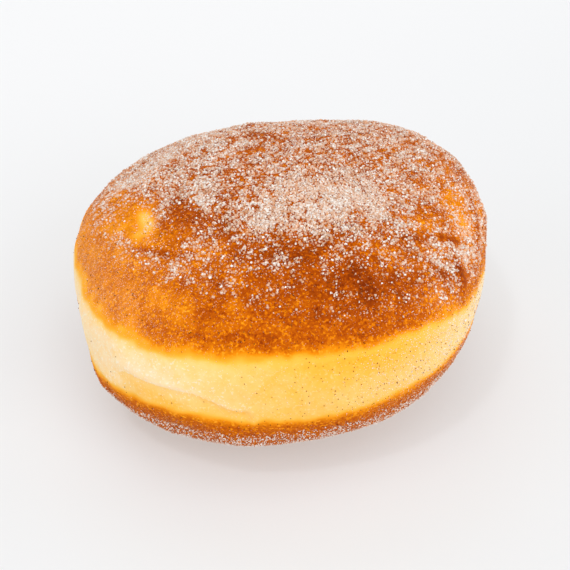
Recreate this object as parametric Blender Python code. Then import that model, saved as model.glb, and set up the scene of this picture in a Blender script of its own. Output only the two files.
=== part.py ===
"""Jelly filled doughnut: one closed round of fried yeast dough that rests on a small flat spot.

Metres, +Z up, the front towards -Y. The origin lies under the middle of the doughnut's box, on the
plane that it rests on. A girth line, seen from above, says how far the dough reaches each way. A
superellipse arc carries that line up to the crown and down to the base. Hand-sized irregularities,
which are swells, dents, wrinkles and the fold in the pale belt, are then pressed into the skin.
"""

import math
from dataclasses import dataclass

import bmesh
import bpy
import numpy as np

# Driving dimensions, in metres.
GIRTH_RADIUS = 0.046
HEIGHT = 0.049  # of the plain form, before the crown's middle rises
GIRTH_LEVEL = 0.61 * HEIGHT
BASE_OVERRUN = 0.0006  # how far the base's arc would pass below the table, where it is cut flat

# How square the arc from the girth is: 2 is an ellipse, and more is fuller.
CROWN_POWER = 2.3
BASE_POWER = 2.6

# The girth and all above it lean: this share of the radius is lifted on the side named.
LEAN_SHARE = 0.049
LEAN_TOWARD = 10.6

# Skin that lies lower than this keeps the plain form, so that the flat spot stays flat.
RELIEF_STARTS = 0.001
RELIEF_FULL = 0.006

# Faces round the girth and from crown to base.
SEGMENTS = 104
RINGS = 42


@dataclass(frozen=True)
class Lobe:
    """A swell of the girth line: how many peaks, their share of the radius, and where one lies."""

    peaks: int
    share: float
    toward: float


@dataclass(frozen=True)
class Press:
    """A soft oval raised from or pressed into the skin.

    toward is its azimuth and down its angle from the crown, in degrees. length and width are its
    half sizes and height its rise, in metres. turn tips its length down towards larger azimuths.
    """

    toward: float
    down: float
    length: float
    width: float
    height: float
    turn: float = 0.0


GIRTH_LOBES = (
    Lobe(peaks=1, share=0.042, toward=52.0),
    Lobe(peaks=2, share=0.046, toward=45.3),
    Lobe(peaks=3, share=0.020, toward=40.7),
    Lobe(peaks=4, share=0.027, toward=52.4),
)

# The crown's risen middle, then wide, low swells that keep it from being a true dome.
CROWN_SWELLS = (
    Press(toward=0, down=0, length=0.019, width=0.019, height=0.0018),
    Press(toward=-50, down=26, length=0.013, width=0.009, height=0.0006),
    Press(toward=-112, down=56, length=0.014, width=0.009, height=0.0006),
    Press(toward=163, down=48, length=0.014, width=0.010, height=0.0007),
    Press(toward=75, down=50, length=0.016, width=0.010, height=0.0006),
    Press(toward=15, down=52, length=0.012, width=0.009, height=0.0006),
)

# The pale dimple on the left shoulder, the crack in front of it, and hollows round the crown.
SHOULDER_DENTS = (
    Press(toward=-159, down=37, length=0.0075, width=0.0050, height=-0.0012, turn=60),
    Press(toward=-136, down=38, length=0.0060, width=0.0022, height=-0.0008, turn=10),
    Press(toward=-78, down=44, length=0.0100, width=0.0045, height=-0.0005),
    Press(toward=-178, down=30, length=0.0080, width=0.0050, height=-0.0006),
    Press(toward=45, down=44, length=0.0100, width=0.0050, height=-0.0007, turn=-15),
)

# Short bars of skin that bunched up on the right shoulder, and the furrows beside them.
SHOULDER_WRINKLES = (
    Press(toward=-37, down=63, length=0.0080, width=0.0024, height=0.0007, turn=80),
    Press(toward=-31, down=60, length=0.0080, width=0.0022, height=-0.0007, turn=82),
    Press(toward=-22, down=44, length=0.0050, width=0.0022, height=0.0006, turn=15),
    Press(toward=-4, down=40, length=0.0070, width=0.0022, height=-0.0006, turn=80),
    Press(toward=-3, down=60, length=0.0110, width=0.0026, height=0.0006, turn=86),
)

# The fold in the belt, front left: the upper dough hangs over a groove that sinks to the right.
FOLD_STARTS = -132.0
FOLD_SINKS_FROM = -113.0
FOLD_ENDS = -96.0
FOLD_DOWN_START = 92.0
FOLD_DOWN_END = 100.5
FOLD_GROOVE = 0.0010
FOLD_LIP = 0.0006
FOLD_WIDTH = 0.0022
FOLD_FADE = 3.0

# The pucker where the fold ends, above the base crust.
PUCKER = Press(toward=-95.3, down=103, length=0.0045, width=0.0018, height=0.0007, turn=88)

CRUST_COLOUR = (0.52, 0.19, 0.035, 1.0)
CRUST_ROUGHNESS = 0.55


def girth(azimuth):
    """Reach of the widest line: a circle with each lobe's cosine added, by azimuth in radians."""
    share = np.ones_like(azimuth)
    for lobe in GIRTH_LOBES:
        share += lobe.share * np.cos(lobe.peaks * (azimuth - math.radians(lobe.toward)))
    return GIRTH_RADIUS * share


def body_points(azimuth, down):
    """Points of the plain form: each direction's ray meets the superellipse above or below the girth."""
    rise = np.cos(down)
    spread = np.sin(down)
    above = rise > 0
    power = np.where(above, CROWN_POWER, BASE_POWER)
    stretch = (np.abs(rise) ** power + spread**power) ** (-1 / power)
    radius = girth(azimuth) * stretch * spread
    reach = np.where(above, HEIGHT - GIRTH_LEVEL, GIRTH_LEVEL + BASE_OVERRUN)
    level = GIRTH_LEVEL + reach * stretch * rise
    lean = LEAN_SHARE * radius * np.cos(azimuth - math.radians(LEAN_TOWARD))
    level += lean * np.sin(np.pi * np.clip(level / HEIGHT, 0, 1))
    level = np.maximum(level, 0)
    return np.stack([radius * np.cos(azimuth), radius * np.sin(azimuth), level], axis=1)


def turned_by(azimuth, toward):
    """Azimuth measured from another one, in radians, between minus and plus half a turn."""
    return (azimuth - math.radians(toward) + np.pi) % (2 * np.pi) - np.pi


def pressed(press, azimuth, down):
    """Height of one press: a bell curve of the distance over the skin, turned and stretched."""
    along = turned_by(azimuth, press.toward) * GIRTH_RADIUS * math.sin(math.radians(press.down))
    across = (down - math.radians(press.down)) * GIRTH_RADIUS
    turn = math.radians(press.turn)
    u = (along * math.cos(turn) + across * math.sin(turn)) / press.length
    v = (across * math.cos(turn) - along * math.sin(turn)) / press.width
    return press.height * np.exp(-(u**2 + v**2))


def folded(azimuth, down):
    """Height of the fold: a lip over a groove, along a line that runs level and then sinks."""
    place = np.degrees(turned_by(azimuth, 0.0))
    share = np.clip((place - FOLD_SINKS_FROM) / (FOLD_ENDS - FOLD_SINKS_FROM), 0, 1)
    line = np.radians(FOLD_DOWN_START + (FOLD_DOWN_END - FOLD_DOWN_START) * share)
    beside = (down - line) * GIRTH_RADIUS / FOLD_WIDTH
    starts = 1 / (1 + np.exp((FOLD_STARTS - place) / FOLD_FADE))
    stops = 1 / (1 + np.exp((place - FOLD_ENDS) / FOLD_FADE))
    groove = -FOLD_GROOVE * np.exp(-(beside**2))
    lip = FOLD_LIP * np.exp(-((beside + 1.8) ** 2))
    return (groove + lip) * starts * stops


def relief(azimuth, down, level):
    """Height of all the irregularities together, faded out where the form nears its flat spot."""
    height = folded(azimuth, down)
    for press in (*CROWN_SWELLS, *SHOULDER_DENTS, *SHOULDER_WRINKLES, PUCKER):
        height += pressed(press, azimuth, down)
    fade = np.clip((level - RELIEF_STARTS) / (RELIEF_FULL - RELIEF_STARTS), 0, 1)
    return height * fade


def read_vectors(collection, attribute):
    """A mesh collection's vectors as an array with one row each."""
    values = np.empty(len(collection) * 3)
    collection.foreach_get(attribute, values)
    return values.reshape(-1, 3)


def dough_material():
    """Fried crust: a warm brown with a soft, faintly oily gloss."""
    material = bpy.data.materials.new("fried_crust")
    material.use_nodes = True
    shader = material.node_tree.nodes["Principled BSDF"]
    shader.inputs["Base Color"].default_value = CRUST_COLOUR
    shader.inputs["Roughness"].default_value = CRUST_ROUGHNESS
    shader.inputs["Metallic"].default_value = 0.0
    return material


def build_doughnut():
    """The doughnut: a sphere whose points are moved onto the form and then along the skin's normals."""
    mesh = bpy.data.meshes.new("doughnut")
    builder = bmesh.new()
    bmesh.ops.create_uvsphere(builder, u_segments=SEGMENTS, v_segments=RINGS, radius=1.0)
    builder.to_mesh(mesh)
    builder.free()

    rays = read_vectors(mesh.vertices, "co")
    azimuth = np.arctan2(rays[:, 1], rays[:, 0])
    down = np.arccos(np.clip(rays[:, 2], -1, 1))
    points = body_points(azimuth, down)
    mesh.vertices.foreach_set("co", points.ravel())
    mesh.update()

    normals = read_vectors(mesh.vertex_normals, "vector")
    points += normals * relief(azimuth, down, points[:, 2])[:, None]
    middle = (points.min(axis=0) + points.max(axis=0)) / 2
    points[:, :2] -= middle[:2]
    mesh.vertices.foreach_set("co", points.ravel())
    mesh.materials.append(dough_material())
    mesh.update()
    mesh.shade_smooth()

    doughnut = bpy.data.objects.new("doughnut", mesh)
    bpy.context.scene.collection.objects.link(doughnut)
    return doughnut


for old in list(bpy.data.objects):
    bpy.data.objects.remove(old, do_unlink=True)
build_doughnut()
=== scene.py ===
"""Jelly filled doughnut: the finished dough, its sugar and its spice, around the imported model.

The dough is one closed skin worked out on a grid of azimuth and angle down from the crown. It has a
browned crown and base with a pale belt between them. Sugar crystals and specks of spice are loose
meshes that lie on that skin. Metres, +Z up, the front towards -Y.
"""

import logging
import math
from dataclasses import dataclass, field
from enum import Enum

import bpy
import numpy as np
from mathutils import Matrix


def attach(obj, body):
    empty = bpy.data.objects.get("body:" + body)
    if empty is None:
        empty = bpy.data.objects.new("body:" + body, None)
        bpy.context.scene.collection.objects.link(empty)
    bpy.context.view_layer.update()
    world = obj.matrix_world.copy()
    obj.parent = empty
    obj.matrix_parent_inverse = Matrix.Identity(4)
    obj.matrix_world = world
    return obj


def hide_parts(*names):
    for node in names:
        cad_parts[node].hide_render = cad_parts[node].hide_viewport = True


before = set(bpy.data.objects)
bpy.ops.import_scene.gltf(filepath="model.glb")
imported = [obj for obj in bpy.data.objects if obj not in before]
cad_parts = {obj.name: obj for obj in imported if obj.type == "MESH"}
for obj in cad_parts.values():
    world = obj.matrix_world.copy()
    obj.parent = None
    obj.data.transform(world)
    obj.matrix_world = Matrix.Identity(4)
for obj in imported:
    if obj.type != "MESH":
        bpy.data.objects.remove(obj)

LOG = logging.getLogger("doughnut")
MM = 0.001
Array = np.ndarray


# ---------------------------------------------------------------- shapes that several classes use


@dataclass(frozen=True)
class Lobe:
    """One swell of a line round the dough.

    peaks is how many times it rises in a turn, size how far, and toward the azimuth of one peak in
    degrees.
    """

    peaks: int
    size: float
    toward: float

    def at(self, azimuth: Array) -> Array:
        """The swell at each azimuth: its size times the cosine of peaks times the angle."""
        return self.size * np.cos(self.peaks * (azimuth - math.radians(self.toward)))


@dataclass(frozen=True)
class Oval:
    """A soft oval place on the skin, for dents, stains and sugar alike.

    toward is its azimuth and down its angle from the crown, in degrees. length and width are its half
    sizes in millimetres, and turn tips its length down towards larger azimuths, in degrees. strength is
    what it adds at its middle.
    """

    toward: float
    down: float
    length: float
    width: float
    strength: float
    turn: float = 0.0


class Stream(Enum):
    """Seeds of the separate random draws, so that a change to one leaves the others alone."""

    LUMPS = 11
    BUBBLES = 12
    PORES = 13
    EDGE = 14
    MOTTLE = 15
    CLUMPS = 16
    GRAINS = 17
    SPECKS = 18


def ripples(points: Array, size: float, seed: int, waves: int = 36) -> Array:
    """Smooth random relief in space: a sum of cosine waves with random directions and lengths.

    Args:
        points: Places, one row each, in metres.
        size: The middling wavelength, in metres.
        seed: What the directions, lengths and phases are drawn from.
        waves: How many waves are added.

    Returns:
        One value a place, about zero on average and one in spread.
    """
    rng = np.random.default_rng(seed)
    ways = rng.normal(size=(waves, 3))
    ways /= np.linalg.norm(ways, axis=1, keepdims=True)
    ways *= (2 * np.pi / (size * rng.uniform(0.7, 1.5, waves)))[:, None]
    phases = rng.uniform(0, 2 * np.pi, waves)
    flat = points.reshape(-1, 3)
    total = np.cos(flat @ ways.T + phases).sum(axis=1) * math.sqrt(2 / waves)
    return total.reshape(points.shape[:-1])


def eased(value: Array, low: float, high: float) -> Array:
    """A smooth step: 0 up to low, 1 from high on, and an S-shaped cubic between them."""
    share = np.clip((value - low) / (high - low), 0, 1)
    return share * share * (3 - 2 * share)


def mesh_piece(name: str, vertices: Array, faces: list[Array]) -> bpy.types.Object:
    """Makes an object from arrays.

    Args:
        name: The piece's name.
        vertices: Corner places, one row each.
        faces: Arrays of corner numbers, one row a face, each array with its own number of corners.

    Returns:
        The object, linked to the scene.
    """
    mesh = bpy.data.meshes.new(name)
    corners = np.concatenate([group.ravel() for group in faces]).astype(np.int32)
    sides = np.concatenate([np.full(len(group), group.shape[1]) for group in faces])
    mesh.vertices.add(len(vertices))
    mesh.vertices.foreach_set("co", vertices.astype(np.float32).ravel())
    mesh.loops.add(len(corners))
    mesh.loops.foreach_set("vertex_index", corners)
    mesh.polygons.add(len(sides))
    mesh.polygons.foreach_set("loop_start", (np.cumsum(sides) - sides).astype(np.int32))
    mesh.update(calc_edges=True)
    mesh.validate()
    piece = bpy.data.objects.new(name, mesh)
    bpy.context.scene.collection.objects.link(piece)
    return piece


def add_values(piece: bpy.types.Object, name: str, values: Array, domain: str = "POINT") -> None:
    """Stores one number a vertex, or one a face, on a piece, for its material to read."""
    layer = piece.data.attributes.new(name, "FLOAT", domain)
    layer.data.foreach_set("value", values.astype(np.float32).ravel())


def add_map(piece: bpy.types.Object, places: Array) -> None:
    """Gives a piece its own flat map, with one place a face corner."""
    layer = piece.data.uv_layers.new(name="OFBake")
    layer.data.foreach_set("uv", places.astype(np.float32).ravel())


# ---------------------------------------------------------------- the dough's form


@dataclass(frozen=True)
class DoughForm:
    """The plain round of dough: a girth line and a superellipse arc above and below it."""

    girth_radius: float = 46.0 * MM
    height: float = 49.0 * MM
    girth_share: float = 0.61
    base_overrun: float = 0.6 * MM
    crown_power: float = 2.3
    base_power: float = 2.6
    lean_share: float = 0.049
    lean_toward: float = 10.6
    lobes: tuple[Lobe, ...] = (
        Lobe(1, 0.042, 52.0),
        Lobe(2, 0.046, 45.3),
        Lobe(3, 0.020, 40.7),
        Lobe(4, 0.027, 52.4),
    )

    @property
    def girth_level(self) -> float:
        """Height of the widest line above the table."""
        return self.girth_share * self.height

    def points(self, azimuth: Array, down: Array) -> Array:
        """Places on the plain form.

        Each direction's ray meets the superellipse above or below the girth, the girth line stretches
        it outwards, and the lean lifts one side. What would pass below the table is cut flat.

        Args:
            azimuth: Angles round the dough, in radians.
            down: Angles from the crown, in radians.

        Returns:
            Places, with a last axis of three.
        """
        rise = np.cos(down)
        spread = np.sin(down)
        above = rise > 0
        power = np.where(above, self.crown_power, self.base_power)
        stretch = (np.abs(rise) ** power + np.abs(spread) ** power) ** (-1 / power)
        girth = self.girth_radius * (1 + sum(lobe.at(azimuth) for lobe in self.lobes))
        radius = girth * stretch * spread
        reach = np.where(above, self.height - self.girth_level, self.girth_level + self.base_overrun)
        level = self.girth_level + reach * stretch * rise
        lean = self.lean_share * radius * np.cos(azimuth - math.radians(self.lean_toward))
        level = level + lean * np.sin(np.pi * np.clip(level / self.height, 0, 1))
        level = np.maximum(level, 0)
        return np.stack([radius * np.cos(azimuth), radius * np.sin(azimuth), level], axis=-1)

    def axes_at(self, azimuth: Array, down: Array) -> tuple[Array, Array, Array]:
        """Unit vectors round, down and out of the plain form.

        Args:
            azimuth: Angles round the dough, in radians.
            down: Angles from the crown, in radians.

        Returns:
            The way round, the way down and the outward normal, from central differences.
        """
        step = 1e-4
        way_round = self.points(azimuth + step, down) - self.points(azimuth - step, down)
        way_down = self.points(azimuth, down + step) - self.points(azimuth, down - step)
        outward = np.cross(way_down, way_round)
        return unit(way_round), unit(way_down), unit(outward)

    def spread(self, oval: Oval, points: Array) -> Array:
        """How much of an oval each place gets: a bell curve of its true distances from the middle.

        Args:
            oval: The oval, placed on this form.
            points: Places on or near the skin.

        Returns:
            Shares from 0 to 1.
        """
        azimuth = np.array(math.radians(oval.toward))
        down = np.array(math.radians(max(oval.down, 0.5)))
        way_round, way_down, outward = self.axes_at(azimuth, down)
        away = points - self.points(azimuth, down)
        turn = math.radians(oval.turn)
        across = away @ way_round
        along = away @ way_down
        u = (across * math.cos(turn) + along * math.sin(turn)) / (oval.length * MM)
        v = (along * math.cos(turn) - across * math.sin(turn)) / (oval.width * MM)
        w = (away @ outward) / (1.5 * max(oval.length, oval.width) * MM)
        return np.exp(-(u**2 + v**2 + w**2))

    def total(self, ovals: tuple[Oval, ...], points: Array) -> Array:
        """What several ovals add together at each place."""
        value = np.zeros(points.shape[:-1])
        for oval in ovals:
            value += oval.strength * self.spread(oval, points)
        return value


def unit(vectors: Array) -> Array:
    """Vectors scaled to a length of one."""
    return vectors / np.maximum(np.linalg.norm(vectors, axis=-1, keepdims=True), 1e-12)


# ---------------------------------------------------------------- relief pressed into the form


@dataclass(frozen=True)
class BeltFold:
    """The fold in the belt, front left, where the upper dough hangs over a shelf below.

    starts, sinks_from and ends are azimuths, and the two downs are angles from the crown, in degrees.
    The line runs level and then sinks. Depths and reaches are in millimetres.
    """

    starts: float = -131.0
    sinks_from: float = -114.0
    ends: float = -96.5
    down_start: float = 92.0
    down_end: float = 100.8
    lip: float = 0.20
    shelf: float = 0.34
    lip_reach: float = 3.0
    shelf_reach: float = 4.5
    edge: float = 0.42
    fade: float = 2.2

    def below_line(self, form: DoughForm, azimuth: Array, points: Array) -> tuple[Array, Array]:
        """How far each place lies below the fold's line, and how much of the fold is there.

        Args:
            form: The dough's form, for the line's height.
            azimuth: Angles round the dough, in radians.
            points: Places on the plain form.

        Returns:
            Drops below the line in millimetres, and shares from 0 to 1.
        """
        place = np.degrees(azimuth)
        share = eased(place, self.sinks_from, self.ends)
        line = np.radians(self.down_start + (self.down_end - self.down_start) * share)
        drop = (form.points(azimuth, line)[..., 2] - points[..., 2]) / MM
        present = 1 / (1 + np.exp((self.starts - place) / self.fade))
        present /= 1 + np.exp((place - self.ends) / (0.35 * self.fade))
        return drop, present

    def height(self, form: DoughForm, azimuth: Array, points: Array) -> Array:
        """Relief of the fold in metres: a lip that dies away upwards, and a shelf that dies away down."""
        drop, present = self.below_line(form, azimuth, points)
        step = 0.5 + 0.5 * np.tanh(drop / self.edge)
        lip = self.lip * np.exp(-np.abs(drop) / self.lip_reach)
        shelf = self.shelf * np.exp(-np.abs(drop) / self.shelf_reach)
        return MM * present * (lip * (1 - step) - shelf * step)


@dataclass(frozen=True)
class DoughRelief:
    """The irregularities of hand-shaped dough, from wide swells to small bubbles, in millimetres."""

    fold: BeltFold = BeltFold()
    presses: tuple[Oval, ...] = (
        # The crown's risen middle, and wide, low swells round it.
        Oval(0, 0, 19.0, 19.0, 1.7),
        Oval(-50, 26, 12.0, 8.0, 0.5),
        Oval(-112, 56, 13.0, 6.0, 0.5),
        Oval(15, 52, 11.0, 6.0, 0.5),
        # Flatter places all round.
        Oval(72, 47, 11.0, 6.5, -1.3),
        Oval(149, 50, 10.0, 7.0, -1.9),
        Oval(-13, 80, 14.0, 9.0, -0.95),
        Oval(-168, 77, 12.0, 9.0, -0.3),
        Oval(-166, 99, 8.0, 8.0, -0.4),
        Oval(-157, 104, 9.0, 6.0, -0.6),
        Oval(25, 62, 8.0, 5.0, -0.5),
        Oval(158, 57, 7.0, 5.0, -0.5),
        Oval(-119, 119, 9.0, 5.0, -1.0),
        Oval(-144, 111, 7.0, 6.0, 0.5),
        # The dimple on the left shoulder with its raised right side, and the crack below it.
        Oval(-160.5, 36.5, 4.6, 2.0, -0.95, 6),
        Oval(-158, 31, 5.0, 2.2, 0.45, 8),
        Oval(-165, 43, 4.0, 3.0, 0.25),
        Oval(-142.5, 41.4, 5.2, 0.8, -0.70, -24),
        Oval(-142, 39.4, 5.0, 1.4, 0.30, -24),
        Oval(-144, 45.0, 5.0, 2.2, 0.25, -24),
        # Hollows round the crown.
        Oval(-78, 44, 9.0, 3.6, -0.4),
        Oval(-178, 30, 7.0, 4.0, -0.4),
        Oval(45, 44, 9.0, 4.0, -0.5, -15),
        Oval(100, 40, 8.0, 3.0, -0.4, 20),
        # Skin bunched up on the right shoulder: raised bars, and furrows between them.
        Oval(-8.2, 46, 3.8, 1.5, 0.32, 120),
        Oval(-20.5, 51, 2.2, 1.5, 0.30, 60),
        Oval(-17, 55.5, 1.8, 1.3, 0.28, 60),
        Oval(-28.7, 42.7, 2.2, 1.3, 0.28, 61),
        Oval(-26.3, 66.5, 4.0, 1.8, 0.46, 123),
        Oval(-33.4, 59.5, 2.7, 1.4, 0.28, 92),
        Oval(-2.5, 66.5, 7.5, 1.2, 0.50, -14),
        Oval(-29.8, 58.5, 4.6, 1.3, -0.32, 108),
        Oval(-25.5, 47.0, 2.4, 1.2, -0.26, 61),
        Oval(-14.0, 62.5, 5.5, 1.4, -0.34, 160),
        Oval(-13.5, 50.5, 3.0, 1.2, -0.22, 100),
        # Two low blisters near the front edge of the crust, and the pucker that ends the fold.
        Oval(-115, 55.5, 3.2, 2.0, 0.30),
        Oval(-103.5, 56.5, 3.4, 1.7, 0.32, -12),
        Oval(-95.6, 104, 2.6, 0.7, 0.45, 86),
        Oval(-97.6, 103, 2.6, 0.8, -0.35, 86),
    )
    lump_size: float = 11.0
    lump_height: float = 0.10
    bubble_size: float = 4.6
    bubble_height: float = 0.035
    pore_size: float = 2.3
    pore_height: float = 0.015
    starts: float = 1.0
    full: float = 6.0

    def height(self, form: DoughForm, azimuth: Array, points: Array) -> Array:
        """Height of all the relief together.

        It is the ovals, the fold and three sizes of random ripple, faded out near the flat spot.

        Args:
            form: The plain form that the relief is pressed into.
            azimuth: Angles round the dough, in radians.
            points: Places on the plain form.

        Returns:
            Heights along the outward normal, in metres.
        """
        value = form.total(self.presses, points)
        value += self.lump_height * ripples(points, self.lump_size * MM, Stream.LUMPS.value)
        value += self.bubble_height * ripples(points, self.bubble_size * MM, Stream.BUBBLES.value)
        value += self.pore_height * ripples(points, self.pore_size * MM, Stream.PORES.value)
        height = value * MM + self.fold.height(form, azimuth, points)
        return height * eased(points[..., 2] / MM, self.starts, self.full)


# ---------------------------------------------------------------- how the dough is fried


@dataclass(frozen=True)
class Bake:
    """Where the dough is browned, where its belt is yellow, and where sugar dust clings.

    The two edges of the belt are lines round the dough, each a middling angle from the crown with
    lobes, in degrees.
    """

    crown_edge: float = 75.4
    crown_lobes: tuple[Lobe, ...] = (Lobe(1, 5.8, 51.7), Lobe(2, 2.4, 3.5), Lobe(3, 0.9, -4.0))
    base_edge: float = 106.0
    base_lobes: tuple[Lobe, ...] = (
        Lobe(1, 5.1, 1.6),
        Lobe(2, 1.3, 56.1),
        Lobe(3, 1.0, 13.3),
        Lobe(4, 2.2, 22.6),
    )
    # Places where the crown's crust hangs lower or ends higher, in millimetres.
    sags: tuple[Oval, ...] = (
        Oval(-5, 80, 17.0, 14.0, 4.0),
        Oval(-44, 74, 5.0, 6.0, -0.6),
        Oval(-68, 76, 8.0, 8.0, 0.6),
        Oval(-135, 76, 14.0, 12.0, -0.6),
        Oval(-157, 79, 7.0, 9.0, -1.3),
    )
    # Places where the base's crust starts higher or lower.
    rises: tuple[Oval, ...] = (
        Oval(-140, 110, 12.0, 10.0, -0.5),
        Oval(-140, 104, 9.0, 8.0, -0.6),
        Oval(-100, 103, 3.0, 4.0, -0.4),
        Oval(-97.5, 106, 2.6, 4.0, -1.0),
    )
    edge_wander: float = 0.22
    # How brown the crust is at these depths in millimetres inside its edge.
    crown_depths: tuple[float, ...] = (-4.2, -3.2, -2.2, -1.2, -0.5, 0.3, 1.2, 2.4, 9.0)
    crown_browns: tuple[float, ...] = (0.0, 0.02, 0.08, 0.22, 0.38, 0.56, 0.67, 0.72, 0.72)
    base_depths: tuple[float, ...] = (-2.6, -1.4, -0.4, 0.6, 1.8, 4.0)
    base_browns: tuple[float, ...] = (0.0, 0.08, 0.24, 0.44, 0.60, 0.68)
    stains: tuple[Oval, ...] = (
        # Paler: the left lobe, partly as painted light that lifts the left side, the dimple and the gold round it,
        # the gold of the right shoulder.
        # Painted light in part: the left lobe's crust is made paler to lift the left side.
        Oval(-165, 58, 24.0, 14.0, -0.29),
        Oval(178, 68, 7.0, 6.0, -0.08),
        Oval(-133, 64, 7.0, 5.0, -0.07),
        Oval(-118, 60, 16.0, 9.0, -0.10),
        Oval(-160.5, 37.4, 4.0, 1.6, -0.52, 6),
        Oval(-154, 40.5, 2.6, 2.2, -0.18),
        Oval(-162, 41, 8.0, 5.0, -0.16),
        Oval(173, 47.7, 1.4, 1.1, -0.16),
        Oval(-125, 52.7, 2.8, 1.8, -0.12),
        Oval(-131, 35, 5.0, 1.6, -0.12, -20),
        Oval(-115, 55.5, 3.4, 2.4, -0.14),
        Oval(-103.5, 56.5, 3.6, 2.2, -0.12, -12),
        Oval(-102, 50, 3.0, 1.8, -0.08),
        Oval(-112, 36, 5.0, 2.4, -0.07),
        Oval(-100, 56, 3.4, 1.6, -0.06),
        Oval(-76, 61, 3.0, 1.2, -0.10),
        Oval(-52, 42, 1.4, 2.6, -0.12),
        Oval(-5, 59, 19.0, 11.0, -0.25),
        Oval(-18.8, 43, 2.8, 1.4, -0.14, 60),
        Oval(-2.5, 56, 3.4, 2.0, -0.10),
        Oval(-43, 41, 2.6, 1.5, -0.16),
        Oval(-9, 60, 3.0, 1.2, -0.08),
        # Browner: beside and under the dimple, and darker along the crack below it as painted shade, the front of
        # the crown, the raised bars at the right.
        Oval(-163.8, 27.7, 3.4, 2.8, 0.20),
        Oval(-148.8, 29.3, 3.0, 2.2, 0.18),
        Oval(-151, 33.4, 2.2, 1.1, 0.14),
        # Painted shade: the crust is darker along the crack's furrow.
        Oval(-142.5, 41.2, 5.0, 0.8, 0.24, -24),
        Oval(-130, 23, 5.0, 3.0, 0.12),
        Oval(-87, 30, 6.0, 4.5, 0.12),
        Oval(-66, 30, 6.0, 2.6, 0.10),
        Oval(-62, 43, 9.0, 5.5, 0.14),
        Oval(-60, 47, 2.2, 5.0, 0.11),
        Oval(-55, 58, 10.0, 5.0, 0.05),
        Oval(-46, 44.5, 2.4, 1.8, -0.12),
        Oval(-40, 66.7, 4.0, 3.0, -0.16),
        Oval(-109, 59, 5.0, 3.0, 0.10),
        Oval(-108, 42, 3.0, 2.4, 0.08),
        Oval(-160, 47, 6.0, 3.0, 0.05),
        Oval(-46, 51, 4.0, 3.0, 0.06),
        Oval(-8.2, 46, 4.2, 1.7, 0.26, 120),
        Oval(-19.5, 51, 2.2, 1.4, 0.28, 60),
        Oval(-16.5, 56, 1.8, 1.2, 0.28, 60),
        Oval(-28.7, 42.7, 2.2, 1.2, 0.26, 61),
        Oval(-26.3, 66.5, 4.2, 1.9, 0.36, 123),
        Oval(15.5, 54.5, 2.0, 1.2, 0.18, 60),
        Oval(-33.4, 59.5, 2.8, 1.6, 0.20, 92),
        Oval(-2.5, 66.5, 7.5, 1.2, 0.32, -14),
    )
    back_brown: float = 0.0

    def depth(self, form: DoughForm, azimuth: Array, points: Array) -> tuple[Array, Array]:
        """How far inside the crown's crust and the base's crust each place lies.

        Args:
            form: The plain form.
            azimuth: Angles round the dough, in radians.
            points: Places on the skin.

        Returns:
            Heights above the crown's edge and drops below the base's edge, in millimetres.
        """
        crown = np.radians(self.crown_edge + sum(lobe.at(azimuth) for lobe in self.crown_lobes))
        base = np.radians(self.base_edge + sum(lobe.at(azimuth) for lobe in self.base_lobes))
        wander = self.edge_wander * ripples(points, 7 * MM, Stream.EDGE.value)
        wander += 0.5 * self.edge_wander * ripples(points, 2.6 * MM, Stream.EDGE.value + 100)
        crown_rim = form.points(azimuth, crown)
        base_rim = form.points(azimuth, base)
        above = np.linalg.norm(points - crown_rim, axis=-1) * np.sign(points[..., 2] - crown_rim[..., 2])
        below = np.linalg.norm(points - base_rim, axis=-1) * np.sign(base_rim[..., 2] - points[..., 2])
        above = above / MM + wander + form.total(self.sags, points)
        below = below / MM + wander + form.total(self.rises, points)
        return above, below


@dataclass(frozen=True)
class BeltTint:
    """How yellow the belt is: pale at the left, deepest at the middle, deeper below the fold as painted shade under
    its lip, and paler on the lip as painted light.
    """

    yellow: tuple[Oval, ...] = (
        Oval(-83, 91, 24.0, 12.0, 0.48),
        Oval(-44, 90, 14.0, 9.0, 0.12),
        Oval(-19, 92, 8.0, 8.0, 0.08),
        Oval(-56, 84, 13.0, 7.0, 0.16),
        Oval(-66, 74, 15.0, 4.5, 0.32),
        Oval(-121, 99, 8.0, 2.6, 0.30, 12),
    )
    base_value: float = 0.16
    rim_yellow: float = 0.55
    rim_reach: float = 1.8
    # Painted shade under the fold's lip, as deeper yellow, and painted light on the lip, as paler yellow.
    shelf_painted_shade: float = 0.12
    lip_painted_light: float = -0.12
    fold_reach: float = 3.5


# ---------------------------------------------------------------- shader node groups


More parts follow.
